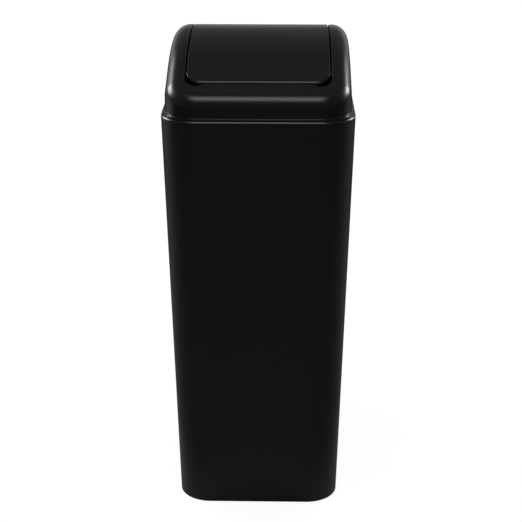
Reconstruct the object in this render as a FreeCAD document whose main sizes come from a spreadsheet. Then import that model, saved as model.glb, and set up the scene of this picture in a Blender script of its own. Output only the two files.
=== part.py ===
"""Slim swing-top trash can: a deep, narrow moulded bin with a lid frame and a two-way swing flap.

The front is the narrow side, at -Y. The origin is on the floor, below the middle of the bin, and
+Z is up. The bin comes apart into three mouldings:

container   a tapered bucket with rounded corners, a foot band and a raised floor panel
lid_frame   the hood that plugs into the rim: flange, plug skirt, domed shell, opening and ears
swing_flap  the curved flap that closes the opening, on two pins moulded with it

The hood and the flap share one arch. Seen from the side it is a slope, a crown arc and a slope, so
the flap lies flush with the hood when it hangs at rest. The flap hangs on its pins a little below
the crown, above its own centre of mass, and so it swings back by itself from either side.

The driving dimensions are in the sheet called sizes. Sums of them are written as plain text, such
as "rim_width - 2 * lid_step", and every length in the model follows such a sum.
"""
import FreeCAD, Part
import Sketcher
import math
import os
import re

# Millimetres, or degrees where a name ends in angle. Each size can be set by itself.
SIZES = {
    # The container
    "rim_width": 254,  # outside width of the container at its rim
    "rim_depth": 394,  # outside depth of the container at its rim
    "rim_corner": 48,  # radius of the rim's corners
    "base_width": 223,  # outside width at the floor
    "base_depth": 363,  # outside depth at the floor
    "base_corner": 44,  # radius of the corners at the floor
    "container_height": 555,  # height of the rim above the floor
    "container_wall": 2.4,  # thickness of the container's walls
    "floor_wall": 2.6,  # thickness of the container's floor
    "rim_bevel": 0.9,  # bevel of the rim's edges
    "foot_bevel": 3,  # bevel along the outside foot of the walls
    "trough_bevel": 5,  # bevel along the inside foot of the walls
    "foot_band": 16,  # width of the band that the bin stands on
    "panel_step": 4,  # height of the floor panel above the foot band
    "panel_bevel": 1.2,  # bevel of the floor panel's edges
    "gate_radius": 6,  # radius of the sunk moulding gate under the floor
    "gate_depth": 0.8,  # depth of the sunk moulding gate
    # The lid frame
    "flange_thickness": 3.2,  # thickness of the flange that sits on the rim
    "flange_bevel": 0.9,  # bevel of the flange's top edge
    "seam_bevel": 0.5,  # bevel of the flange's bottom edge, at the seam
    "lid_step": 5.3,  # width of the ledge between the flange's edge and the hood's wall
    "ledge_bevel": 0.9,  # bevel where the hood's wall meets the ledge
    "lid_corner": 45,  # radius of the hood's corners
    "lid_wall": 2.2,  # thickness of the hood's shell
    "front_wall_height": 30.5,  # height above the rim at which the slope would meet the front wall
    "slope_angle": 23,  # angle of the hood's slopes, in degrees
    "crown_radius": 275,  # radius of the arc over the top of the hood
    "shoulder_round": 22,  # rounding all round the hood's top edge
    "core_bevel_share": 0.76,  # bevel of the hollow under the shoulder, as a share of its rounding
    "skirt_depth": 12,  # how far the plug skirt reaches into the container
    "skirt_wall": 2,  # thickness of the plug skirt
    "skirt_clearance": 0.4,  # gap between the plug skirt and the container's wall
    "side_border": 26.2,  # width of the hood's top beside the opening
    "end_border": 32.4,  # length of the hood's top before and behind the opening
    "opening_corner": 14,  # radius of the opening's corners
    "opening_bevel": 0.7,  # bevel of the opening's top edge
    "lip_wall": 2,  # thickness of the lip under the opening's edge, and of the ears on it
    "lip_depth": 7,  # depth of the lip, square to the hood's surface
    # The swing flap
    "side_gap": 2,  # gap on each side of the flap
    "end_gap": 2.3,  # gap at the front and the back of the flap
    "flap_corner": 20,  # radius of the flap's corners
    "flap_wall": 2,  # thickness of the flap, its edge and its cheeks
    "edge_depth": 6,  # depth of the flap's edge, square to its surface
    "flap_bevel": 0.8,  # bevel of the flap's top edge
    "rib_wall": 1.6,  # thickness of the rib that joins the flap's cheeks
    "rib_depth": 12,  # depth of that rib below the crown
    # The pivot
    "pivot_drop": 11,  # depth of the pivot's axis below the crown
    "pin_radius": 3.5,  # radius of the flap's pins
    "pin_clearance": 0.1,  # gap all round a pin in its ear
    "pin_end": 2,  # how far a pin stands out past its ear
    "pin_margin": 5,  # width of an ear or a cheek round its pin
    "ear_spread": 7,  # how much wider an ear is on each side at its root
    "cheek_spread": 16,  # how much wider a cheek is on each side at its root
    "snap_grip": 1.2,  # how much narrower than the pin the ear's slot is
    # Shared
    "bevel_share": 0.4,  # largest bevel of an edge, as a share of its wall
    "overrun": 2,  # how far a cut runs past what it cuts
}

# What follows from them, each as a sum of the names above it
DERIVED = {
    "hood_width": "rim_width - 2 * lid_step",  # outside width of the hood at the rim
    "hood_depth": "rim_depth - 2 * lid_step",  # outside depth of the hood at the rim
    "arc_reach": "crown_radius * sin(slope_angle)",  # half length of the crown arc, level
    "arc_drop": "crown_radius * (1 - cos(slope_angle))",  # how far the arc's ends lie below the crown
    "slope_drop": "(hood_depth / 2 - arc_reach) * tan(slope_angle)",  # fall of each slope
    "hood_height": "front_wall_height + slope_drop + arc_drop",  # height of the crown above the rim
    "crown_top": "container_height + hood_height",  # height of the crown above the floor
    "ledge_height": "container_height + flange_thickness",  # height of the ledge above the floor
    "pivot_height": "crown_top - pivot_drop",  # height of the pivot's axis above the floor
    "opening_width": "hood_width - 2 * side_border",  # width of the opening
    "opening_depth": "hood_depth - 2 * end_border",  # length of the opening, front to back
    "flap_width": "opening_width - 2 * side_gap",  # width of the flap
    "flap_depth": "opening_depth - 2 * end_gap",  # length of the flap, front to back
    "pin_eye": "pin_radius + pin_margin",  # radius of an ear or a cheek round its pin
    "slot_width": "2 * pin_radius - snap_grip",  # width of the slot below an ear's bore
}

doc = FreeCAD.newDocument("slim_trash_can")
home = {}


def in_sheets(text):
    """A sum written with the sizes' names, as an expression that reads the sheets."""
    return re.sub("[a-z_]+", lambda word: home.get(word[0], word[0]), text)


def fill(sheet, table, cell):
    """Puts a table in a sheet: a name and its cell in each row, with the name as its alias."""
    for row, (name, value) in enumerate(table.items(), 1):
        sheet.set(f"A{row}", name)
        sheet.set(f"B{row}", cell(value))
        sheet.setAlias(f"B{row}", name)
        home[name] = f"{sheet.Name}.{name}"


sizes = doc.addObject("Spreadsheet::Sheet", "sizes")
derived = doc.addObject("Spreadsheet::Sheet", "derived")
fill(sizes, SIZES, str)
fill(derived, DERIVED, lambda text: "=" + in_sheets(text))
doc.recompute()


def amount(text):
    """The present value of a sum."""
    return float(sizes.evalExpression(in_sheets(text)))


TOUCH = 0.001
UPRIGHT_SHARE = 0.5
LEVEL_SHARE = 0.75
RIM = "container_height"
HOOD = ("hood_width", "hood_depth", "lid_corner")
OPENING = ("opening_width", "opening_depth", "opening_corner")
FLAP = ("flap_width", "flap_depth", "flap_corner")


def inset(plan, text):
    """A plan, which is a width, a depth and a corner radius, drawn in all round by a sum."""
    width, depth, corner = plan
    return f"{width} - 2 * ({text})", f"{depth} - 2 * ({text})", f"{corner} - ({text})"


def container_plan(height):
    """The container's outside plan at a height, on the straight way from the floor to the rim."""
    share = f"({height}) / container_height"
    sides = ("width", "depth", "corner")
    return tuple(f"base_{side} + (rim_{side} - base_{side}) * {share}" for side in sides)


def body(label):
    """A new body, whose label names its file when it is a piece of its own."""
    made = doc.addObject("PartDesign::Body", label)
    made.Label = label
    return made


def sketch(owner, name, role, offset):
    """An empty sketch on one of a body's planes, set off from it by a sum."""
    made = owner.newObject("Sketcher::SketchObject", name)
    plane = next(item for item in owner.Origin.OriginFeatures if item.Role == role)
    made.AttachmentSupport = (plane, [""])
    made.MapMode = "FlatFace"
    made.setExpression("AttachmentOffset.Base.z", in_sheets(offset))
    return made


def point(across, up):
    """A point of a sketch."""
    return FreeCAD.Vector(across, up, 0)


def tie(made, kind, *pairs):
    """Adds one kind of constraint to a sketch several times."""
    made.addConstraint([Sketcher.Constraint(kind, *pair) for pair in pairs])


def dimension(made, name, kind, where, text):
    """A driving dimension of a sketch, which follows a sum."""
    value = math.radians(amount(text)) if kind == "Angle" else amount(text)
    index = made.addConstraint(Sketcher.Constraint(kind, *where, value))
    made.renameConstraint(index, name)
    made.setExpression("Constraints." + name, in_sheets(text))


def loop(made, corners):
    """Straight lines through a list of points of a sketch, joined end to end."""
    first = made.GeometryCount
    lines = [Part.LineSegment(*ends) for ends in zip(corners, corners[1:])]
    made.addGeometry(lines)
    tie(made, "Coincident", *[(first + step, 2, first + step + 1, 1) for step in range(len(lines) - 1)])


def outline(owner, name, height, plan):
    """A rounded rectangle round the middle of the bin. Its arcs come first, then its sides."""
    made = sketch(owner, name, "XY_Plane", height)
    width, depth, corner = plan
    radius = amount(corner)
    across, along = amount(width) / 2 - radius, amount(depth) / 2 - radius
    centres = [point(across, along), point(-across, along), point(-across, -along), point(across, -along)]
    up = FreeCAD.Vector(0, 0, 1)
    turns = [turn * math.pi / 2 for turn in range(5)]
    arcs = [
        Part.ArcOfCircle(Part.Circle(centre, up, radius), start, end)
        for centre, start, end in zip(centres, turns, turns[1:])
    ]
    sides = [Part.LineSegment(arcs[turn].EndPoint, arcs[(turn + 1) % 4].StartPoint) for turn in range(4)]
    made.addGeometry(arcs + sides)
    tie(made, "Tangent", *[(turn, 2, turn + 4, 1) for turn in range(4)])
    tie(made, "Tangent", *[(turn + 4, 2, (turn + 1) % 4, 1) for turn in range(4)])
    tie(made, "Horizontal", (4,), (6,))
    tie(made, "Vertical", (5,), (7,))
    tie(made, "Equal", (0, 1), (0, 2), (0, 3))
    tie(made, "Symmetric", (0, 3, 2, 3, -1, 1))
    dimension(made, "width", "DistanceX", (5, 1, 7, 1), width)
    dimension(made, "depth", "DistanceY", (6, 1, 4, 1), depth)
    dimension(made, "corner", "Radius", (0,), corner)
    return made


def arch(owner, name, drop, far):
    """The side view of the arch, lowered square to itself by a sum and closed at a far height."""
    made = sketch(owner, name, "YZ_Plane", "0")
    radius, slope = amount(f"crown_radius - ({drop})"), math.radians(amount("slope_angle"))
    centre, reach = amount("crown_top - crown_radius"), amount("rim_depth / 2")
    crown = Part.Circle(point(0, centre), FreeCAD.Vector(0, 0, 1), radius)
    arc = Part.ArcOfCircle(crown, math.pi / 2 - slope, math.pi / 2 + slope)
    made.addGeometry(arc)
    foot = arc.StartPoint.y - (reach - arc.StartPoint.x) * math.tan(slope)
    right = [arc.StartPoint, point(reach, foot), point(reach, amount(far))]
    left = [point(-corner.x, corner.y) for corner in reversed(right)]
    loop(made, right + left)
    tie(made, "Tangent", (0, 1, 1, 1), (5, 2, 0, 2))
    tie(made, "Vertical", (2,), (4,))
    tie(made, "Horizontal", (3,))
    tie(made, "PointOnObject", (0, 3, -2))
    tie(made, "Symmetric", (1, 2, 5, 1, -2))
    dimension(made, "centre", "DistanceY", (-1, 1, 0, 3), "crown_top - crown_radius")
    dimension(made, "radius", "Radius", (0,), f"crown_radius - ({drop})")
    dimension(made, "reach", "DistanceX", (-1, 1, 1, 2), "rim_depth / 2")
    dimension(made, "far", "DistanceY", (-1, 1, 3, 1), far)
    dimension(made, "slope", "Angle", (1, 1, -1, 1), "slope_angle")
    return made


def feature(owner, kind, name, sums, **settings):
    """Adds a feature to a body, with plain settings and with the values that follow sums."""
    made = owner.newObject("PartDesign::" + kind, name)
    for key, value in settings.items():
        setattr(made, key, value)
    for key, text in sums.items():
        made.setExpression(key, in_sheets(text))
    owner.Tip = made
    doc.recompute()
    return made


def pad(owner, name, profile, length, **settings):
    """A sketch grown into a solid by a sum."""
    return feature(owner, "Pad", name, {"Length": length}, Profile=profile, **settings)


def cut_through(owner, name, profile):
    """A sketch cut through the whole body, both ways from its plane."""
    return feature(owner, "Pocket", name, {}, Profile=profile, Type="ThroughAll", SideType="Symmetric")


def walled(owner, kind, name, low, high, low_inset, high_inset):
    """A solid along the container's walls between two heights, drawn in by a sum at each of them."""
    foot = outline(owner, name + "_foot", low, inset(container_plan(low), low_inset))
    top = outline(owner, name + "_top", high, inset(container_plan(high), high_inset))
    return feature(owner, kind, name, {}, Profile=foot, Sections=[top], Ruled=True)


def disc(owner, name, role, offset, height, radius):
    """A circle on the upright axis of a sketch, at a height."""
    made = sketch(owner, name, role, offset)
    made.addGeometry(Part.Circle(point(0, amount(height)), FreeCAD.Vector(0, 0, 1), amount(radius)))
    tie(made, "PointOnObject", (0, 3, -2))
    dimension(made, "height", "DistanceY", (-1, 1, 0, 3), height)
    dimension(made, "radius", "Radius", (0,), radius)
    return made


def strip(owner, name, role, width, low, high):
    """A rectangle between two heights, even on both sides of the upright axis of a sketch."""
    made = sketch(owner, name, role, "0")
    side, bottom, top = amount(width) / 2, amount(low), amount(high)
    corners = [point(side, bottom), point(side, top), point(-side, top), point(-side, bottom)]
    loop(made, corners + corners[:1])
    tie(made, "Coincident", (3, 2, 0, 1))
    tie(made, "Vertical", (0,), (2,))
    tie(made, "Horizontal", (1,))
    tie(made, "Symmetric", (3, 1, 3, 2, -2))
    dimension(made, "width", "DistanceX", (3, 1, 3, 2), width)
    dimension(made, "low", "DistanceY", (-1, 1, 3, 1), low)
    dimension(made, "high", "DistanceY", (-1, 1, 0, 2), high)
    return made


def lug(owner, name, offset, spread, root):
    """The side view of an ear or a cheek: round about the pivot, and wider up to its root."""
    made = sketch(owner, name, "YZ_Plane", offset)
    radius, centre, top = amount("pin_eye"), amount("pivot_height"), amount(root)
    side, rise = amount(f"pin_eye + {spread}"), top - centre
    lean = math.atan2(rise, side) - math.acos(radius / math.hypot(side, rise))
    eye = Part.Circle(point(0, centre), FreeCAD.Vector(0, 0, 1), radius)
    arc = Part.ArcOfCircle(eye, math.pi - lean, 2 * math.pi + lean)
    made.addGeometry(arc)
    loop(made, [arc.EndPoint, point(side, top), point(-side, top), arc.StartPoint])
    tie(made, "Tangent", (0, 2, 1, 1), (3, 2, 0, 1))
    tie(made, "PointOnObject", (0, 3, -2))
    tie(made, "Symmetric", (2, 1, 2, 2, -2))
    dimension(made, "centre", "DistanceY", (-1, 1, 0, 3), "pivot_height")
    dimension(made, "radius", "Radius", (0,), "pin_eye")
    dimension(made, "side", "DistanceX", (-1, 1, 2, 1), f"pin_eye + {spread}")
    dimension(made, "root", "DistanceY", (-1, 1, 2, 1), root)
    return made


def mirrored(owner, name, *originals):
    """The same features on the other side of the bin."""
    plane = next(item for item in owner.Origin.OriginFeatures if item.Role == "YZ_Plane")
    return feature(owner, "Mirrored", name, {}, Originals=list(originals), MirrorPlane=(plane, [""]))


def joined(owner, kind, name, tool):
    """Another body fused to a body, or cut from it."""
    return feature(owner, "Boolean", name, {}, Type=kind, Group=[tool])


def creases(shape, turned, low, high):
    """The edges between two heights where a face turned up (1) or down (-1) meets an upright one."""
    names = []
    for number, edge in enumerate(shape.Edges, 1):
        middle = edge.valueAt((edge.FirstParameter + edge.LastParameter) / 2)
        faces = shape.ancestorsOfType(edge, Part.Face)
        turns = [turned * face.normalAt(*face.Surface.parameter(middle)).z for face in faces]
        if not amount(low) - TOUCH < middle.z < amount(high) + TOUCH:
            continue
        if min(map(abs, turns)) < UPRIGHT_SHARE and max(turns) > LEVEL_SHARE:
            names.append(f"Edge{number}")
    return names


def rounded(owner, name, radius, turned, low, high):
    """A rounding of the creases of a body between two heights."""
    base = owner.Tip
    edges = creases(base.Shape, turned, low, high)
    return feature(owner, "Fillet", name, {"Radius": radius}, Base=(base, edges))


def bevelled(owner, name, width, turned, low, high):
    """A bevel of the creases of a body between two heights."""
    base = owner.Tip
    edges = creases(base.Shape, turned, low, high)
    return feature(owner, "Chamfer", name, {"Size": width}, Base=(base, edges))


def limited(width, wall):
    """A bevel that its wall may limit."""
    return f"min({width}; {wall} * bevel_share)"


def arched(owner, name, plan, top, bottom):
    """A solid with a plan, between two copies of the arch, each lowered by a sum."""
    pad(owner, name + "_block", outline(owner, name + "_plan", RIM, plan), "hood_height + overrun")
    cut_through(owner, name + "_top", arch(owner, name + "_over", top, "crown_top + 2 * overrun"))
    cut_through(owner, name, arch(owner, name + "_under", bottom, "container_height - overrun"))


def hood_form(owner, name, inner):
    """The hood as a solid, drawn in by a sum: upright walls with the arch over them."""
    plan = outline(owner, name + "_plan", RIM, inset(HOOD, inner))
    pad(owner, name + "_block", plan, "hood_height + overrun")
    cut_through(owner, name + "_arch", arch(owner, name + "_over", inner, "crown_top + 2 * overrun"))


# The container: a stack of foot, walls and brim, then its inside
container = body("container")
BRIM = limited("rim_bevel", "container_wall")
SHOULDER = f"{RIM} - {BRIM}"
walled(container, "AdditiveLoft", "foot", "0", "foot_bevel", "foot_bevel", "0")
walled(container, "AdditiveLoft", "walls", "foot_bevel", SHOULDER, "0", "0")
walled(container, "AdditiveLoft", "brim", SHOULDER, RIM, "0", BRIM)
WALL = "container_wall"
walled(container, "SubtractiveLoft", "inside", "floor_wall", f"{RIM} + overrun", WALL, WALL)
walled(container, "SubtractiveLoft", "mouth", SHOULDER, RIM, WALL, f"{WALL} - {BRIM}")
bevelled(container, "trough", "trough_bevel", 1, "floor_wall", "floor_wall")

# The container: the floor panel, raised from below, and the sunk gate
panel_plan = outline(container, "panel_plan", "0", inset(container_plan("0"), f"foot_band - {WALL}"))
pad(container, "panel", panel_plan, "panel_step + floor_wall")
recess_plan = outline(container, "recess_plan", "0", inset(container_plan("0"), "foot_band"))
feature(container, "Pocket", "recess", {"Length": "panel_step"}, Profile=recess_plan, Reversed=True)
bevelled(container, "panel_edges", "panel_bevel", 1, "floor_wall", "floor_wall + panel_step")
bevelled(container, "recess_edges", "panel_bevel", -1, "0", "panel_step")
gate_plan = disc(container, "gate_plan", "XY_Plane", "panel_step", "0", "gate_radius")
feature(container, "Pocket", "gate", {"Length": "gate_depth"}, Profile=gate_plan, Reversed=True)

# The lid frame: its flange, the hood on it and the ledge between them
lid_frame = body("lid_frame")
pad(lid_frame, "flange", outline(lid_frame, "flange_plan", RIM, container_plan(RIM)), "flange_thickness")
bevelled(lid_frame, "flange_edge", limited("flange_bevel", "flange_thickness"), 1, RIM, "ledge_height")
bevelled(lid_frame, "seam", limited("seam_bevel", "flange_thickness"), -1, RIM, "ledge_height")
hood = body("hood")
hood_form(hood, "hood", "0")
rounded(hood, "dome", "shoulder_round", 1, "ledge_height + overrun", "crown_top")
joined(lid_frame, "Fuse", "hooded", hood)
bevelled(lid_frame, "ledge", limited("ledge_bevel", "lid_step"), 1, "ledge_height", "ledge_height")

# The lid frame: its plug skirt, which follows the container's wall, and the hollow of the hood
SKIRT_FOOT = f"{RIM} - skirt_depth"
SKIRT_FACE = f"{WALL} + skirt_clearance"
SKIRT_BACK = f"{SKIRT_FACE} + skirt_wall"
walled(lid_frame, "AdditiveLoft", "plug", SKIRT_FOOT, RIM, SKIRT_FACE, SKIRT_FACE)
walled(lid_frame, "SubtractiveLoft", "skirt", SKIRT_FOOT, RIM, SKIRT_BACK, SKIRT_BACK)
hood_core = body("hood_core")
hood_form(hood_core, "core", "lid_wall")
CORE_BEVEL = "core_bevel_share * (shoulder_round - lid_wall)"
bevelled(hood_core, "core_shoulder", CORE_BEVEL, 1, "ledge_height + overrun", "crown_top")
joined(lid_frame, "Cut", "shell", hood_core)

# The lid frame: the lip, the opening through it, and the ears that hang from it
opening_lip = body("opening_lip")
arched(opening_lip, "lip", inset(OPENING, "-lip_wall"), "lid_wall / 2", "lip_depth")
joined(lid_frame, "Fuse", "lipped", opening_lip)
opening_plan = outline(lid_frame, "opening_plan", "crown_top + overrun", OPENING)
feature(lid_frame, "Pocket", "opening", {}, Profile=opening_plan, Type="ThroughAll")
OPENING_BEVEL = limited("opening_bevel", "lid_wall")
bevelled(lid_frame, "opening_edge", OPENING_BEVEL, 1, "ledge_height + overrun", "crown_top")
ear_side = lug(lid_frame, "ear_side", "opening_width / 2", "ear_spread", "crown_top - lip_depth / 2")
ear = pad(lid_frame, "ear", ear_side, "lip_wall")
mirrored(lid_frame, "ears", ear)
ACROSS_EARS = "opening_width + 2 * (lip_wall + overrun)"
bore_side = disc(lid_frame, "bore_side", "YZ_Plane", "0", "pivot_height", "pin_radius + pin_clearance")
feature(lid_frame, "Pocket", "bores", {"Length": ACROSS_EARS}, Profile=bore_side, SideType="Symmetric")
slot_foot = "pivot_height - pin_eye - overrun"
slot_side = strip(lid_frame, "slot_side", "YZ_Plane", "slot_width", slot_foot, "pivot_height")
feature(lid_frame, "Pocket", "slots", {"Length": ACROSS_EARS}, Profile=slot_side, SideType="Symmetric")

# The swing flap: its skin and turned-down edge, then the cheeks, pins and rib below
swing_flap = body("swing_flap")
arched(swing_flap, "skin", FLAP, "0", "edge_depth")
bevelled(swing_flap, "flap_edge", limited("flap_bevel", "flap_wall"), 1, "ledge_height", "crown_top")
flap_hollow = body("flap_hollow")
arched(flap_hollow, "hollow", inset(FLAP, "flap_wall"), "flap_wall", "edge_depth + overrun")
joined(swing_flap, "Cut", "underside", flap_hollow)
CHEEK_ROOT = "crown_top - edge_depth / 2"
cheek_side = lug(swing_flap, "cheek_side", "flap_width / 2 - flap_wall", "cheek_spread", CHEEK_ROOT)
cheek = pad(swing_flap, "cheek", cheek_side, "flap_wall")
pin_side = disc(swing_flap, "pin_side", "YZ_Plane", "flap_width / 2", "pivot_height", "pin_radius")
pin = pad(swing_flap, "pin", pin_side, "side_gap + lip_wall + pin_end")
mirrored(swing_flap, "cheeks_and_pins", cheek, pin)
RIB = ("flap_width - flap_wall", "crown_top - rib_depth", "crown_top - flap_wall / 2")
rib_front = strip(swing_flap, "rib_front", "XZ_Plane", *RIB)
pad(swing_flap, "rib", rib_front, "rib_wall", SideType="Symmetric")

doc.recompute()
for item in doc.Objects:
    if {"Invalid", "Error"} & set(item.State):
        raise RuntimeError(item.Label + " failed")
    base = getattr(item, "BaseFeature", None)
    if base and item.TypeId != "PartDesign::Body" and abs(item.Shape.Volume - base.Shape.Volume) < TOUCH:
        raise RuntimeError(item.Label + " changes nothing")

os.makedirs("parts", exist_ok=True)
for piece in (container, lid_frame, swing_flap):
    shape = piece.Shape
    if shape.isNull() or not shape.isValid() or len(shape.Solids) != 1:
        raise RuntimeError(piece.Label + " isn't one sound solid")
    print(piece.Label, round(shape.Volume), "mm3")
    shape.exportStep(f"parts/{piece.Label}.step")
for name in ("crown_top", "pivot_height"):
    print(name, round(amount(name), 3), "mm")
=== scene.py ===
import math

import bmesh
import bpy
import numpy as np
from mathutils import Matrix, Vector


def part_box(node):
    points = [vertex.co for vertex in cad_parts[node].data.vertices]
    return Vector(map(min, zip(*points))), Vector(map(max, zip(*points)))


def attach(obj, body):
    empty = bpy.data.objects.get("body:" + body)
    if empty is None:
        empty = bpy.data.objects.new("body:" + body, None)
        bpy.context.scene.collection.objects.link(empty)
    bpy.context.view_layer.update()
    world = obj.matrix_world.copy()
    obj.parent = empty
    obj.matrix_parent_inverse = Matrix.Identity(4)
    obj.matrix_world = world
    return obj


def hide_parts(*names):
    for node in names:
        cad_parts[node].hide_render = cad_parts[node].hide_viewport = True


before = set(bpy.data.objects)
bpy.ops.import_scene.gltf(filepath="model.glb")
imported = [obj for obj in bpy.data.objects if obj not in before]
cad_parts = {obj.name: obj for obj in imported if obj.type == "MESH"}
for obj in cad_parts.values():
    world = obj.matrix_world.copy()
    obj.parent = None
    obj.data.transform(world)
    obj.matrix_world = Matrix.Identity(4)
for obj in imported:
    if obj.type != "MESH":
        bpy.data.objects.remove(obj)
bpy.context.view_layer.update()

# The container. A deep narrow bucket, injection moulded in one piece from black polypropylene. Its
# walls lean out from the foot to the rim, it stands on a flat band round its foot, and its floor is
# raised inside that band. Sizes are in metres, a plan's as half width, half depth and corner radius.
RIM_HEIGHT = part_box("container")[1].z
RIM_CORNER = 0.048
RIM = np.array([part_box("lid_frame")[1].x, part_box("lid_frame")[1].y, RIM_CORNER])
BASE = np.array([0.1115, 0.1815, 0.044])
MIDDLE = np.zeros(3)
WALL = 0.0024
FLOOR = 0.0026
RIM_ROUND = 0.0006
SEAM_ROUND = 0.0002
FOOT_ROUND = 0.002
TROUGH_ROUND = 0.006
FOOT_BAND = 0.016
PANEL_STEP = 0.004
PANEL_ROUND = 0.0012
PANEL_REACH = 0.010
GATE = 0.006
GATE_DEPTH = 0.0008
GATE_ROUND = 0.0003
BEND_STEPS = 24
SIDE_STEPS = 44
ARC_STEPS = 7
RUN_STEPS = 6
WALL_STEPS = 60
NARROW_STEPS = 2
MERGE_REACH = 1e-7


def stations(bends, sides):
    """Stations round a rounded rectangle: the signs of a corner's centre, and the outward direction.

    Round each corner the centre stays while the direction makes a quarter turn. Along each side the
    direction stays while the centre slides to the next corner, closer together near both ends."""
    signs = np.array([[1, 1], [-1, 1], [-1, -1], [1, -1]], float)
    turn = np.arange(bends) / bends
    slide = (1 - np.cos(np.pi * np.arange(sides) / sides)) / 2
    centres, angles = [], []
    for corner in range(4):
        here, there = signs[corner], signs[(corner + 1) % 4]
        centres += [np.repeat(here[None], bends, 0), here + (there - here) * slide[:, None]]
        angles += [corner + turn, np.full(sides, corner + 1.0)]
    angle = np.concatenate(angles) * np.pi / 2
    return np.concatenate(centres), np.stack([np.cos(angle), np.sin(angle)], 1)


CENTRES, OUTWARD = stations(BEND_STEPS, SIDE_STEPS)


def outline(sizes):
    """Points round rounded rectangles given as half width, half depth and corner radius: the corner's
    centre lies at its signs times the half sizes less the radius, and the point lies a radius outward."""
    sizes = np.asarray(sizes, float)[..., None, :]
    return CENTRES * (sizes[..., :2] - sizes[..., 2:]) + OUTWARD * sizes[..., 2:]


def container_sizes(height, inset):
    """The container's outside plan at a height, drawn in by an inset: each size runs straight from
    the foot to the rim, and stays as it is above the rim."""
    share = np.minimum(height, RIM_HEIGHT)[:, None] / RIM_HEIGHT
    return BASE + (RIM - BASE) * share - inset[:, None]


def spread(count):
    """Shares of a run between 0 and 1, closer together near both ends: half of one less the cosine of
    even steps of a half turn."""
    return (1 - np.cos(np.pi * np.arange(1, count + 1) / (count + 1))) / 2


def rounded_path(corners, radii, runs):
    """A path through corner points with each corner rounded, and the share of bend at each point.

    An arc's centre lies on the corner's bisector, and its points lie a radius from it, in directions
    turned evenly from one side's normal to the other's. Runs between arcs get points by spread."""
    corners = np.asarray(corners, float)
    along = np.diff(corners, axis=0)
    along /= np.linalg.norm(along, axis=1, keepdims=True)
    points, bends = [corners[:1]], [np.zeros(1)]
    for number, radius in enumerate(radii, 1):
        before, after = along[number - 1], along[number]
        turn = math.acos(np.clip(before @ after, -1, 1))
        reach = radius * math.tan(turn / 2)
        start = corners[number] - before * reach
        bisector = (after - before) / np.linalg.norm(after - before)
        centre = corners[number] + bisector * radius / math.cos(turn / 2)
        share = np.linspace(0, 1, ARC_STEPS + 1)[:, None]
        first, last = start - centre, corners[number] + after * reach - centre
        arc = centre + (np.sin((1 - share) * turn) * first + np.sin(share * turn) * last) / math.sin(turn)
        tail = points[-1][-1]
        run = tail + (start - tail) * spread(runs[number - 1])[:, None]
        points += [run, arc]
        bends += [np.zeros(len(run)), np.ones(len(arc))]
    tail = points[-1][-1]
    points += [tail + (corners[-1] - tail) * spread(runs[-1])[:, None], corners[-1:]]
    bends += [np.zeros(runs[-1]), np.zeros(1)]
    return np.concatenate(points), np.concatenate(bends)


def plans_between(first, last, count):
    """Plans between two plans, ends left out: each size goes straight from one to the other."""
    return first + (last - first) * spread(count)[:, None]


def lifted(sizes, heights):
    """Rings of points from plans and their heights."""
    flat = outline(sizes)
    heights = np.broadcast_to(np.asarray(heights, float)[:, None], flat.shape[:2])
    return np.concatenate([flat, heights[..., None]], 2)


def stacked(parts):
    """One stack of rings from several, and the share of bend of each ring."""
    rings = np.concatenate([rings for rings, bend in parts])
    bends = np.concatenate([np.broadcast_to(bend, len(rings)) for rings, bend in parts])
    return rings, bends


def skin(name, rings, bends, looped=False):
    """A closed mesh from a stack of rings. Each ring closes on itself, and neighbours are joined by
    four-sided faces. A looped stack joins its last ring to its first, and otherwise each end ring is
    one point. Points that coincide are merged, and the faces are turned outwards."""
    count, around = rings.shape[:2]
    index = np.arange(count * around).reshape(count, around)
    low, high = (index, np.roll(index, -1, 0)) if looped else (index[:-1], index[1:])
    faces = np.stack([low, np.roll(low, -1, 1), np.roll(high, -1, 1), high], 2).reshape(-1, 4)
    mesh = bpy.data.meshes.new(name)
    mesh.from_pydata(rings.reshape(-1, 3), [], faces)
    edge = mesh.attributes.new("edge", "FLOAT", "POINT")
    edge.data.foreach_set("value", np.repeat(bends, around).astype(np.float32))
    work = bmesh.new()
    work.from_mesh(mesh)
    bmesh.ops.remove_doubles(work, verts=work.verts, dist=MERGE_REACH)
    bmesh.ops.recalc_face_normals(work, faces=work.faces)
    work.to_mesh(mesh)
    work.free()
    mesh.shade_smooth()
    piece = bpy.data.objects.new(name, mesh)
    bpy.context.scene.collection.objects.link(piece)
    return piece


wall_corners = [
    (FOOT_BAND + PANEL_REACH, PANEL_STEP),
    (FOOT_BAND, PANEL_STEP),
    (FOOT_BAND, 0),
    (0, 0),
    (0, RIM_HEIGHT),
    (WALL, RIM_HEIGHT),
    (WALL, FLOOR),
    (FOOT_BAND - WALL, FLOOR),
    (FOOT_BAND - WALL, FLOOR + PANEL_STEP),
    (FOOT_BAND + PANEL_REACH, FLOOR + PANEL_STEP),
]
outside_rounds = [PANEL_ROUND, PANEL_ROUND, FOOT_ROUND, SEAM_ROUND]
inside_rounds = [RIM_ROUND, TROUGH_ROUND, PANEL_ROUND, PANEL_ROUND]
outside_runs = [RUN_STEPS, NARROW_STEPS, RUN_STEPS, WALL_STEPS]
inside_runs = [NARROW_STEPS, WALL_STEPS, RUN_STEPS, NARROW_STEPS, RUN_STEPS]
path, path_bend = rounded_path(wall_corners, outside_rounds + inside_rounds, outside_runs + inside_runs)
path_sizes = container_sizes(path[:, 1], path[:, 0])
gate_top = PANEL_STEP + GATE_DEPTH
gate_corners = [(0, gate_top), (GATE, gate_top), (GATE, PANEL_STEP), (2 * GATE, PANEL_STEP)]
gate_runs = [3, 1, 3]
gate, gate_bend = rounded_path(gate_corners, [GATE_ROUND, GATE_ROUND], gate_runs)
gate_sizes = np.repeat(gate[:, :1], len(MIDDLE), 1)
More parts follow.
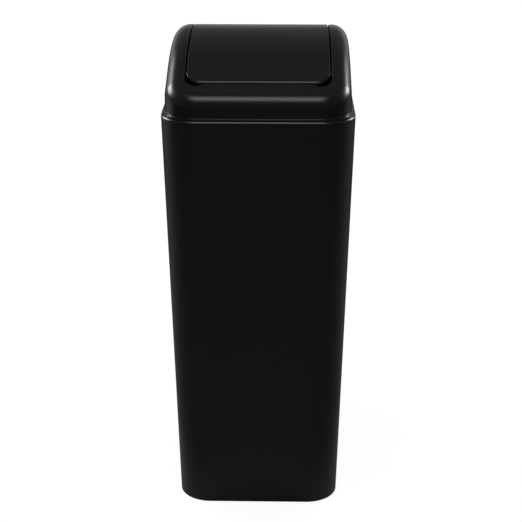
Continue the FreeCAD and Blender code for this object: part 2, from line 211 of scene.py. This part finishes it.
panel_under = plans_between(gate_sizes[-1], path_sizes[0], RUN_STEPS)
panel_over = np.append(plans_between(path_sizes[-1], MIDDLE, RUN_STEPS), [MIDDLE], 0)
container = skin("moulded_container", *stacked([
    (lifted(gate_sizes, gate[:, 1]), gate_bend),
    (lifted(panel_under, np.full(len(panel_under), PANEL_STEP)), 0),
    (lifted(path_sizes, path[:, 1]), path_bend),
    (lifted(panel_over, np.full(len(panel_over), FLOOR + PANEL_STEP)), 0),
]))

BLACK = (0.0042, 0.0043, 0.0045)
RUBBED = (0.0085, 0.0085, 0.0088)
PLASTIC_IOR = 1.49
CLOUD_SCALE = 14.0
CLOUD_DETAIL = 3.0
CLOUD_TINT = 3.0
NOISE_MEAN = 0.5
GRAIN_DETAIL = 2.0
GRAIN_DEPTH = 0.00002


def moulded_finish():
    """A node group for moulded plastic. Its tint and roughness drift with a slow noise, and both move
    towards the edge's values by the piece's edge mask. Its height is a fine noise."""
    group = bpy.data.node_groups.new("moulded_finish", "ShaderNodeTree")
    for label, kind, value in (
        ("Face tint", "NodeSocketColor", (*BLACK, 1)),
        ("Edge tint", "NodeSocketColor", (*RUBBED, 1)),
        ("Face roughness", "NodeSocketFloat", 0.4),
        ("Edge roughness", "NodeSocketFloat", 0.3),
        ("Cloudiness", "NodeSocketFloat", 0.1),
        ("Grain scale", "NodeSocketFloat", 1500.0),
    ):
        group.interface.new_socket(label, in_out="INPUT", socket_type=kind).default_value = value
    group.interface.new_socket("Tint", in_out="OUTPUT", socket_type="NodeSocketColor")
    group.interface.new_socket("Roughness", in_out="OUTPUT", socket_type="NodeSocketFloat")
    group.interface.new_socket("Grain height", in_out="OUTPUT", socket_type="NodeSocketFloat")
    nodes, links = group.nodes, group.links
    given, made = nodes.new("NodeGroupInput").outputs, nodes.new("NodeGroupOutput").inputs
    place = nodes.new("ShaderNodeTexCoord")
    edge = nodes.new("ShaderNodeAttribute")
    edge.attribute_name = "edge"
    worn = edge.outputs["Fac"]

    def feed(socket, value):
        """Gives a socket its number, or links it to another node's output."""
        if isinstance(value, float):
            socket.default_value = value
        else:
            links.new(value, socket)

    def noise(scale, detail):
        """A noise over the piece's own coordinates."""
        found = nodes.new("ShaderNodeTexNoise")
        links.new(place.outputs["Object"], found.inputs["Vector"])
        feed(found.inputs["Scale"], scale)
        feed(found.inputs["Detail"], detail)
        return found.outputs["Fac"]

    def worked(operation, first, second):
        """One step of arithmetic."""
        step = nodes.new("ShaderNodeMath")
        step.operation = operation
        feed(step.inputs[0], first)
        feed(step.inputs[1], second)
        return step.outputs[0]

    def mixed(kind, blend, share, first, second):
        """The second laid over the first by a share."""
        mix = nodes.new("ShaderNodeMix")
        mix.data_type = kind
        mix.blend_type = blend
        feed(mix.inputs["Factor"], share)
        links.new(first, mix.inputs["A"])
        links.new(second, mix.inputs["B"])
        return mix.outputs["Result"]

    drift = worked("SUBTRACT", noise(CLOUD_SCALE, CLOUD_DETAIL), NOISE_MEAN)
    cloud = worked("MULTIPLY", drift, given["Cloudiness"])
    lift = worked("ADD", worked("MULTIPLY", cloud, CLOUD_TINT), 1.0)
    tint = mixed("RGBA", "MIX", worn, given["Face tint"], given["Edge tint"])
    rough = mixed("FLOAT", "MIX", worn, given["Face roughness"], given["Edge roughness"])
    links.new(mixed("RGBA", "MULTIPLY", 1.0, tint, lift), made["Tint"])
    links.new(worked("ADD", rough, cloud), made["Roughness"])
    links.new(noise(given["Grain scale"], GRAIN_DETAIL), made["Grain height"])
    return group


FINISH = moulded_finish()


def plastic(name, roughness, edge_roughness, cloudiness, grain_scale):
    """A satin black plastic with its own values for the shared finish."""
    material = bpy.data.materials.new(name)
    material.use_nodes = True
    nodes, links = material.node_tree.nodes, material.node_tree.links
    shader = nodes["Principled BSDF"]
    finish = nodes.new("ShaderNodeGroup")
    finish.node_tree = FINISH
    for label, value in (
        ("Face tint", (*BLACK, 1)),
        ("Edge tint", (*RUBBED, 1)),
        ("Face roughness", roughness),
        ("Edge roughness", edge_roughness),
        ("Cloudiness", cloudiness),
        ("Grain scale", grain_scale),
    ):
        finish.inputs[label].default_value = value
    bump = nodes.new("ShaderNodeBump")
    bump.inputs["Distance"].default_value = GRAIN_DEPTH
    links.new(finish.outputs["Tint"], shader.inputs["Base Color"])
    links.new(finish.outputs["Roughness"], shader.inputs["Roughness"])
    links.new(finish.outputs["Grain height"], bump.inputs["Height"])
    links.new(bump.outputs["Normal"], shader.inputs["Normal"])
    shader.inputs["IOR"].default_value = PLASTIC_IOR
    return material


def finished(piece, body, material):
    """Rides a piece on its body and gives it its material."""
    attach(piece, body)
    piece.data.materials.append(material)


container_plastic = plastic(
    "container_plastic", roughness=0.38, edge_roughness=0.28, cloudiness=0.05, grain_scale=1400.0
)
finished(container, "bin", container_plastic)
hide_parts("container")


# The lid frame. One moulding of the same black plastic: a flange with a small step, which sits on the
# rim, a skirt that plugs into it, and a hood whose arched top has a large opening, wider at its corners.
# A ball rolled along the inside of the hood's top edge gives the shoulder its even rounding.
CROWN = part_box("lid_frame")[1].z
CROWN_RADIUS = 0.275
SLOPE = math.radians(23)
LID_STEP = 0.0053
LID_CORNER = 0.045
LID_WALL = 0.0022
SHOULDER = 0.022
LEDGE = 0.0044
LEDGE_ROUND = 0.0009
LEDGE_REACH = 0.0011
LEDGE_EDGE = 0.0002
BEVEL_TOP = 0.0017
BEVEL_TOP_ROUND = 0.00015
BEVEL_FOOT = 0.0004
BEVEL_FOOT_ROUND = 0.0003
SKIRT_GAP = 0.0004
SKIRT_WALL = 0.002
SKIRT_DEPTH = 0.012
SKIRT_ROUND = 0.0008
INSIDE_ROUND = 0.0004
OPENING = np.array([0.0955, 0.1660, 0.018])
OPENING_ROUND = 0.001
NOSE = 0.0052
NOSE_HALF = (0.066, 0.083)
LIP_WALL = 0.002
LIP_DEPTH = 0.007
LIP_ROUND = 0.0006
LIP_REACH = 0.0012
HOOD_FOOT = 0.004
SHOULDER_STEPS = 18
TOP_STEPS = 10
HOOD = np.array([RIM[0] - LID_STEP, RIM[1] - LID_STEP, LID_CORNER])


def arch(along, drop=0.0):
    """Height of the arch at places along its length, lowered square to itself by a drop: a circle's
    arc over the crown, and beyond its ends the straight lines that go on from it."""
    radius = CROWN_RADIUS - drop
    reach = radius * math.sin(SLOPE)
    centre = CROWN - CROWN_RADIUS
    inner = np.sqrt(radius ** 2 - np.minimum(np.abs(along), reach) ** 2)
    return centre + inner - np.maximum(np.abs(along) - reach, 0) * math.tan(SLOPE)


def on_arch(flat, drop=0.0):
    """Points of a plan lifted onto the arch, lowered by a drop for each ring."""
    drop = np.asarray(drop, float).reshape(-1, 1)
    return np.concatenate([flat, arch(flat[..., 1], drop)[..., None]], 2)


def between(first, last, count):
    """Rings of a plan between two rings, ends left out, with each point on the straight way across."""
    return first + (last - first) * spread(count)[:, None, None]


ball_centre = on_arch(outline(HOOD - SHOULDER)[None], SHOULDER)[0]
tilt = np.clip(ball_centre[:, 1] / (CROWN_RADIUS - SHOULDER), -math.sin(SLOPE), math.sin(SLOPE))
ball_up = np.stack([np.zeros_like(tilt), tilt, np.sqrt(1 - tilt ** 2)], 1)
ball_out = np.concatenate([OUTWARD, np.zeros((len(OUTWARD), 1))], 1)


def shoulder(radius):
    """The rounding of the hood's top edge: from the ball's centre, a radius in directions turned
    evenly from square to the arch to straight outwards."""
    turn = np.arccos(np.sum(ball_up * ball_out, 1))[:, None]
    share = np.linspace(0, 1, SHOULDER_STEPS + 1)[:, None, None]
    direction = (np.sin((1 - share) * turn) * ball_up + np.sin(share * turn) * ball_out) / np.sin(turn)
    return ball_centre + radius * direction


def wall(plan, start, end):
    """Upright rings of a plan between two edges that may rise and fall round it, ends left out."""
    share = spread(RUN_STEPS)[:, None]
    height = start + (end - start) * share
    return np.concatenate([np.repeat(plan[None], RUN_STEPS, 0), height[..., None]], 2)


def nosed(plan):
    """A plan of the opening whose two ends stand further in, so that only its corners leave a wide gap
    to the flap. The step in is smooth: three times the share squared, less twice its cube."""
    share = np.clip((NOSE_HALF[1] - np.abs(plan[..., 0])) / (NOSE_HALF[1] - NOSE_HALF[0]), 0, 1)
    nose = NOSE * share ** 2 * (3 - 2 * share)
    return np.stack([plan[..., 0], plan[..., 1] - np.sign(plan[..., 1]) * nose], -1)


ledge = RIM_HEIGHT + LEDGE
hood_foot = ledge + HOOD_FOOT
hood_back = LID_STEP + LID_WALL
skirt_face = WALL + SKIRT_GAP
skirt_back = skirt_face + SKIRT_WALL
skirt_foot = RIM_HEIGHT - SKIRT_DEPTH
flange_corners = [
    (LID_STEP, hood_foot),
    (LID_STEP, ledge),
    (LEDGE_REACH, ledge),
    (LEDGE_REACH, RIM_HEIGHT + BEVEL_TOP),
    (0, RIM_HEIGHT + BEVEL_FOOT),
    (0, RIM_HEIGHT),
    (skirt_face, RIM_HEIGHT),
    (skirt_face, skirt_foot),
    (skirt_back, skirt_foot),
    (skirt_back, RIM_HEIGHT),
    (hood_back, RIM_HEIGHT),
    (hood_back, hood_foot),
]
ledge_rounds = [LEDGE_ROUND, LEDGE_EDGE, BEVEL_TOP_ROUND, BEVEL_FOOT_ROUND, SEAM_ROUND]
skirt_rounds = [INSIDE_ROUND, SKIRT_ROUND, SKIRT_ROUND, INSIDE_ROUND, INSIDE_ROUND]
flange_runs = [2, 2, 2, 3, 1, 2, 4, 1, 4, 2, 2]
flange, flange_bend = rounded_path(flange_corners, ledge_rounds + skirt_rounds, flange_runs)
flange_sizes = container_sizes(flange[:, 1], flange[:, 0])
near_hood = np.clip((flange[:, 0] - skirt_back) / (LID_STEP - skirt_back), 0, 1)
flange_sizes[:, 2] += (LID_CORNER + LID_STEP - RIM_CORNER) * near_hood

lip_corners = [
    (LIP_WALL + LIP_REACH, LID_WALL),
    (LIP_WALL, LID_WALL),
    (LIP_WALL, LIP_DEPTH),
    (0, LIP_DEPTH),
    (0, 0),
    (LIP_REACH, 0),
]
lip_runs = [2, 2, 1, 3, 2]
lip, lip_bend = rounded_path(lip_corners, [LIP_ROUND, LIP_ROUND, LIP_ROUND, OPENING_ROUND], lip_runs)
lip_rings = on_arch(nosed(outline(OPENING + lip[:, :1])), lip[:, 1])

inner_shoulder = shoulder(SHOULDER - LID_WALL)[::-1]
outer_shoulder = shoulder(SHOULDER)
foot_line = np.full(len(OUTWARD), hood_foot)
lid_frame = skin("moulded_lid_frame", *stacked([
    (lifted(flange_sizes, flange[:, 1]), flange_bend),
    (wall(outline(HOOD - LID_WALL), foot_line, inner_shoulder[0, :, 2]), 0),
    (inner_shoulder, 0),
    (on_arch(between(inner_shoulder[-1, :, :2], lip_rings[0, :, :2], TOP_STEPS), LID_WALL), 0),
    (lip_rings, lip_bend),
    (on_arch(between(lip_rings[-1, :, :2], outer_shoulder[0, :, :2], TOP_STEPS)), 0),
    (outer_shoulder, 0),
    (wall(outline(HOOD), outer_shoulder[-1, :, 2], foot_line), 0),
]), looped=True)
lid_plastic = plastic(
    "lid_plastic", roughness=0.27, edge_roughness=0.24, cloudiness=0.03, grain_scale=1600.0
)
finished(lid_frame, "lid", lid_plastic)
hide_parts("lid_frame")


# The snap ears. Two lugs moulded with the lip, one on each side of the opening. Each has a bore for
# the flap's pin and a slot below it, a little narrower than the pin, through which the pin snaps in.
PIVOT_DROP = 0.011
PIVOT = CROWN - PIVOT_DROP
PIN_RADIUS = 0.0035
BORE_RADIUS = 0.0036
EYE = 0.0085
SLOT_HALF = 0.0029
MOUTH_CUT = 0.05
EAR_SPREAD = 0.007
EAR_ROOT = CROWN - LIP_DEPTH / 2 - PIVOT
EAR_EDGE = 0.15
SUNK = 0.00005
LUG_STEPS = 120
TINY = 1e-6


def lug_reach(angle, half_root, rise):
    """How far a lug reaches from its pivot in each direction: the eye's circle below, and above it the
    two straight flanks that leave the circle for the root's ends, up to the level root."""
    lean = math.atan2(rise, half_root) - math.acos(EYE / math.hypot(half_root, rise))
    folded = np.arctan2(np.sin(angle), np.abs(np.cos(angle)))
    flank = EYE / np.maximum(np.cos(np.maximum(folded, lean) - lean), TINY)
    root = rise / np.maximum(np.sin(folded), TINY)
    return np.minimum(flank, root)


def upright(across, reach, angle):
    """Points round the pivot, in the plane across the bin at a distance from its middle."""
    return np.stack(np.broadcast_arrays(across, reach * np.cos(angle), PIVOT + reach * np.sin(angle)), -1)


def capped(name, rings):
    """A closed mesh from sections along a run, each end closed onto the middle of its last section."""
    middles = np.repeat(rings[[0, -1]].mean(1, keepdims=True), rings.shape[1], 1)
    rings = np.concatenate([middles[:1], rings, middles[1:]])
    return skin(name, rings, np.zeros(len(rings)))


def ear(name, side):
    """A C-shaped lug. Its section, between the bore or slot and the outside, is carried round the
    pivot from one side of the slot to the other, and both faces stand a lip's wall apart."""
    slot_angle = math.acos(SLOT_HALF / EYE) - MOUTH_CUT
    angle = np.linspace(-slot_angle, math.pi + slot_angle, LUG_STEPS)[:, None]
    outer = lug_reach(angle, EYE + EAR_SPREAD, EAR_ROOT)
    slot = np.where(np.sin(angle) < 0, SLOT_HALF / np.maximum(np.abs(np.cos(angle)), SLOT_HALF / EYE), 0)
    inner = np.minimum(np.maximum(BORE_RADIUS, slot), outer)
    step = np.array([EAR_EDGE, 1 - EAR_EDGE, 1, 1, 1 - EAR_EDGE, EAR_EDGE, 0, 0])
    across = OPENING[0] + SUNK + (LIP_WALL - 2 * SUNK) * np.roll(step, 2)
    return capped(name, upright(side * across, inner + (outer - inner) * step, angle))


for name, side in (("left_snap_ear", -1), ("right_snap_ear", 1)):
    finished(ear(name, side), "lid", lid_plastic)


# The swing flap. A curved plate of the same black plastic with a turned-down edge all round. It lies
# flush in the opening, with a gap all round that leaves it free to swing.
FLAP = np.array([0.0935, 0.157, 0.021])
FLAP_WALL = 0.002
FLAP_DEPTH = 0.006
FLAP_ROUND_SIDES = 0.0009
FLAP_ROUND_ENDS = 0.003
FLAP_ROUND_UNDER = 0.0006
FLAP_REACH = 0.008
FLAP_STEPS = 48

flap_corners = [
    (FLAP_REACH, 0),
    (0, 0),
    (0, FLAP_DEPTH),
    (FLAP_WALL, FLAP_DEPTH),
    (FLAP_WALL, FLAP_WALL),
    (FLAP_REACH, FLAP_WALL),
]
flap_runs = [4, 3, 1, 3, 4]


def flap_rings(edge_round):
    """The flap's rings with one rounding all round its top edge, and their bend: plans that grow from
    the middle, round over the edge, come back under it and shrink to the middle, all on the arch."""
    rounds = [edge_round, FLAP_ROUND_UNDER, FLAP_ROUND_UNDER, FLAP_ROUND_UNDER]
    rim, bend = rounded_path(flap_corners, rounds, flap_runs)
    sizes = FLAP - rim[:, :1]
    over = plans_between(MIDDLE, sizes[0], FLAP_STEPS)
    under = plans_between(sizes[-1], MIDDLE, FLAP_STEPS)
    flat = np.zeros(FLAP_STEPS + 1)
    drops = np.concatenate([flat, rim[:, 1], flat + FLAP_WALL])
    rings = on_arch(outline(np.concatenate([[MIDDLE], over, sizes, under, [MIDDLE]])), drops)
    return rings, np.concatenate([flat, bend, flat])


side_rings, flap_bend = flap_rings(FLAP_ROUND_SIDES)
end_rings = flap_rings(FLAP_ROUND_ENDS)[0]
towards_ends = OUTWARD[:, 1:] ** 2
flap = skin("moulded_swing_flap", side_rings + (end_rings - side_rings) * towards_ends, flap_bend)
flap_plastic = plastic(
    "flap_plastic", roughness=0.28, edge_roughness=0.22, cloudiness=0.03, grain_scale=1600.0
)
finished(flap, "flap", flap_plastic)
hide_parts("swing_flap")


# The cheeks and pins. A cheek hangs from each side of the flap, and a short pin stands out from it
# into the lid's ear. Both are moulded with the flap, and a rib under the crown braces the cheeks.
CHEEK_SPREAD = 0.016
CHEEK_ROOT = CROWN - FLAP_DEPTH / 2 - PIVOT
CHEEK_ROUND = 0.0004
PIN_END = 0.002
PIN_ROUND = 0.0006
RIB_HALF = 0.0008
RIB_DROP = 0.012
RIB_FOOT = CROWN - RIB_DROP
RIB_ROUND = 0.0006
PLATE_STEPS = 4
ROUND_PIVOT = np.linspace(0, 2 * math.pi, LUG_STEPS, endpoint=False)[None]

plate_runs = [1, 2, 1]


def turned_plate(name, side, inner, outer, reach, rounding):
    """A plate or pin across the bin, from an inner to an outer face: its outline, drawn in at both
    edges by a rounding, runs from the middle of one face over its rim to the middle of the other."""
    rim_reach = 2 * rounding
    rim_corners = [(inner, rim_reach), (inner, 0), (outer, 0), (outer, rim_reach)]
    rim, bend = rounded_path(rim_corners, [rounding, rounding], plate_runs)
    across, inset = side * rim[:, :1], rim[:, 1:]
    shares = np.append(0, spread(PLATE_STEPS))[:, None]
    rings = np.concatenate([
        upright(across[:1], (reach - inset[0]) * shares, ROUND_PIVOT),
        upright(across, reach - inset, ROUND_PIVOT),
        upright(across[-1:], (reach - inset[-1]) * shares[::-1], ROUND_PIVOT),
    ])
    flat = np.zeros(len(shares))
    return skin(name, rings, np.concatenate([flat, bend, flat]))


cheek_inner = FLAP[0] - FLAP_WALL + SUNK
cheek_outer = FLAP[0] - SUNK
cheek_reach = lug_reach(ROUND_PIVOT, EYE + CHEEK_SPREAD, CHEEK_ROOT)
pin_root = cheek_outer - FLAP_WALL / 2
pin_tip = OPENING[0] + LIP_WALL + PIN_END
for name, side in (("left", -1), ("right", 1)):
    cheek = turned_plate(name + "_cheek", side, cheek_inner, cheek_outer, cheek_reach, CHEEK_ROUND)
    finished(cheek, "flap", flap_plastic)
    pin = turned_plate(name + "_pin", side, pin_root, pin_tip, PIN_RADIUS, PIN_ROUND)
    finished(pin, "flap", flap_plastic)

rib_top = CROWN - FLAP_WALL / 2
rib_corners = [
    (0, rib_top),
    (RIB_HALF, rib_top),
    (RIB_HALF, RIB_FOOT),
    (-RIB_HALF, RIB_FOOT),
    (-RIB_HALF, rib_top),
    (0, rib_top),
]
rib_rounds = [RIB_ROUND / 2, RIB_ROUND, RIB_ROUND, RIB_ROUND / 2]
rib_runs = [1, 4, 1, 4, 1]
rib_section = rounded_path(rib_corners, rib_rounds, rib_runs)[0][:-1]
rib_along = (FLAP[0] - FLAP_WALL / 2) * np.linspace(-1, 1, 2 * RUN_STEPS)[:, None]
rib_rings = np.stack(np.broadcast_arrays(rib_along, *rib_section.T), -1)
finished(capped("cheek_rib", rib_rings), "flap", flap_plastic)


# The studio. A pale paper floor that runs out of sight, under a white surround: the camera sees both as
# white. The bin sees a dim room and a dim floor that darkens with distance, most of all behind it. Close
# round the bin's foot that floor is painted lighter, a painted pool of light that fills in the bin's own
# shadow there. The floor keeps the bin's soft shadow.
FLOOR_HALF = 12.0
# The floor as the bin sees it: the first tint is painted light close round the bin, filling in its
# shadow, and falls to the second over the reach; behind the bin it falls again to a share.
PAINTED_FILL_AND_FLOOR_TINT = (0.55, 0.28)
PAINTED_FILL_REACH = (0.20, 0.34)
BEHIND_REACH = (0.5, 1.0)
BEHIND_SHARE = 0.4
PAPER_TINT = 0.20
GLOW = (0.92, 0.99)
GLOW_REACH = (0.3, 2.6)
SURROUND = 0.14
WHITE = (1, 1, 1, 1)


def for_camera(tree, seen, unseen, output):
    """Gives the camera one shader and every other ray another."""
    ray = tree.nodes.new("ShaderNodeLightPath")
    pick = tree.nodes.new("ShaderNodeMixShader")
    tree.links.new(ray.outputs["Is Camera Ray"], pick.inputs["Fac"])
    tree.links.new(unseen, pick.inputs[1])
    tree.links.new(seen, pick.inputs[2])
    tree.links.new(pick.outputs["Shader"], tree.nodes[output].inputs["Surface"])


def white_paper():
    """Paper that the camera sees lit and glowing, and every other ray sees dim. The glow rises with the
    distance from the bin. The dim tint falls with it: close round the bin it is a painted pool of light
    that fills in the bin's own shadow there. It falls again behind the bin."""
    paper = bpy.data.materials.new("white_paper")
    paper.use_nodes = True
    nodes, links = paper.node_tree.nodes, paper.node_tree.links
    nodes.remove(nodes["Principled BSDF"])
    place = nodes.new("ShaderNodeTexCoord")
    away = nodes.new("ShaderNodeVectorMath")
    away.operation = "LENGTH"
    links.new(place.outputs["Object"], away.inputs[0])
    behind = nodes.new("ShaderNodeSeparateXYZ")
    links.new(place.outputs["Object"], behind.inputs["Vector"])

    def change(measure, reach, values):
        """A smooth change from one value to another while a measure goes over its reach."""
        step = nodes.new("ShaderNodeMapRange")
        step.interpolation_type = "SMOOTHSTEP"
        for label, value in zip(("From Min", "From Max", "To Min", "To Max"), (*reach, *values)):
            step.inputs[label].default_value = value
        links.new(measure, step.inputs["Value"])
        return step.outputs["Result"]

    # The dim tint: painted light close round the bin where its shadow falls, dim further off, darker
    # again behind.
    tint = nodes.new("ShaderNodeMath")
    tint.operation = "MULTIPLY"
    links.new(change(away.outputs["Value"], PAINTED_FILL_REACH, PAINTED_FILL_AND_FLOOR_TINT), tint.inputs[0])
    links.new(change(behind.outputs["Y"], BEHIND_REACH, (1, BEHIND_SHARE)), tint.inputs[1])
    dim = nodes.new("ShaderNodeBsdfDiffuse")
    links.new(tint.outputs["Value"], dim.inputs["Color"])
    lit = nodes.new("ShaderNodeBsdfDiffuse")
    lit.inputs["Color"].default_value = (PAPER_TINT, PAPER_TINT, PAPER_TINT, 1)
    glow = nodes.new("ShaderNodeEmission")
    links.new(change(away.outputs["Value"], GLOW_REACH, GLOW), glow.inputs["Strength"])
    both = nodes.new("ShaderNodeAddShader")
    links.new(lit.outputs["BSDF"], both.inputs[0])
    links.new(glow.outputs["Emission"], both.inputs[1])
    for_camera(paper.node_tree, both.outputs["Shader"], dim.outputs["BSDF"], "Material Output")
    return paper


floor_mesh = bpy.data.meshes.new("studio_floor")
floor_corners = [(x * FLOOR_HALF, y * FLOOR_HALF, 0) for x, y in ((-1, -1), (1, -1), (1, 1), (-1, 1))]
floor_mesh.from_pydata(floor_corners, [], [(0, 1, 2, 3)])
floor_mesh.materials.append(white_paper())
studio_floor = bpy.data.objects.new("studio_floor", floor_mesh)
bpy.context.scene.collection.objects.link(studio_floor)

surround = bpy.data.worlds.new("studio_surround")
surround.use_nodes = True
room = surround.node_tree.nodes["Background"]
room.inputs["Color"].default_value = WHITE
room.inputs["Strength"].default_value = SURROUND
white = surround.node_tree.nodes.new("ShaderNodeBackground")
white.inputs["Color"].default_value = WHITE
for_camera(surround.node_tree, white.outputs["Background"], room.outputs["Background"], "World Output")
bpy.context.scene.world = surround


# The lamps. A softbox high in front draws the line along the hood's front edge, and one on each side, a
# little behind, draws the bright lines down its corners. Two weak softboxes at the rear and a dim card
# on each of the four sides keep the body's edges and foot from going black.
LAMP_AWAY = 2.0


def softbox(name, azimuth, elevation, width, height, radiance, away=LAMP_AWAY):
    """A rectangular area lamp aimed at the rim's middle from a compass direction: azimuth from the
    front towards the left and elevation, both in degrees. Its power is pi times its area and radiance."""
    lamp = bpy.data.lights.new(name, "AREA")
    lamp.shape = "RECTANGLE"
    lamp.size, lamp.size_y = width, height
    lamp.energy = math.pi * width * height * radiance
    piece = bpy.data.objects.new(name, lamp)
    around, above = math.radians(azimuth), math.radians(elevation)
    piece.location = (
        -away * math.sin(around) * math.cos(above),
        -away * math.cos(around) * math.cos(above),
        RIM_HEIGHT + away * math.sin(above),
    )
    piece.rotation_euler = (math.pi / 2 - above, 0, -around)
    piece.visible_camera = False
    bpy.context.scene.collection.objects.link(piece)


softbox("front_softbox", azimuth=3, elevation=61, width=1.25, height=0.85, radiance=2.8)
softbox("left_softbox", azimuth=119, elevation=24, width=0.90, height=0.60, radiance=10.5)
softbox("left_rear_softbox", azimuth=141, elevation=10, width=0.45, height=0.45, radiance=0.3)
softbox("right_softbox", azimuth=-122, elevation=20, width=0.74, height=0.55, radiance=11.5)
softbox("right_rear_softbox", azimuth=-143, elevation=10, width=0.45, height=0.45, radiance=0.1)
softbox("left_card", azimuth=112, elevation=-8, width=1.40, height=0.60, radiance=0.42)
softbox("right_card", azimuth=-120, elevation=-8, width=1.20, height=0.60, radiance=0.22)
softbox("rear_card", azimuth=180, elevation=5, width=3.00, height=0.45, radiance=0.38, away=2.4)
softbox("front_card", azimuth=0, elevation=-10, width=2.40, height=0.35, radiance=0.1, away=2.6)


# The camera. A long lens about 1.7 m in front of the bin and 0.33 m above its crown, which looks down
# on the front a little from the right. The lens and the frame are in millimetres.
CAMERA_PLACE = (0.0379, -1.8562, 0.9701)
CAMERA_PITCH = math.radians(19.884)
CAMERA_TURN = math.radians(1.149)
CAMERA_LENS = 92.43
CAMERA_FRAME = 36
camera_data = bpy.data.cameras.new("camera")
camera_data.lens = CAMERA_LENS
camera_data.sensor_width = CAMERA_FRAME
camera = bpy.data.objects.new("camera", camera_data)
camera.location = CAMERA_PLACE
camera.rotation_euler = (math.pi / 2 - CAMERA_PITCH, 0, CAMERA_TURN)
bpy.context.scene.collection.objects.link(camera)
bpy.context.scene.camera = camera
bpy.context.scene.view_settings.view_transform = "Standard"
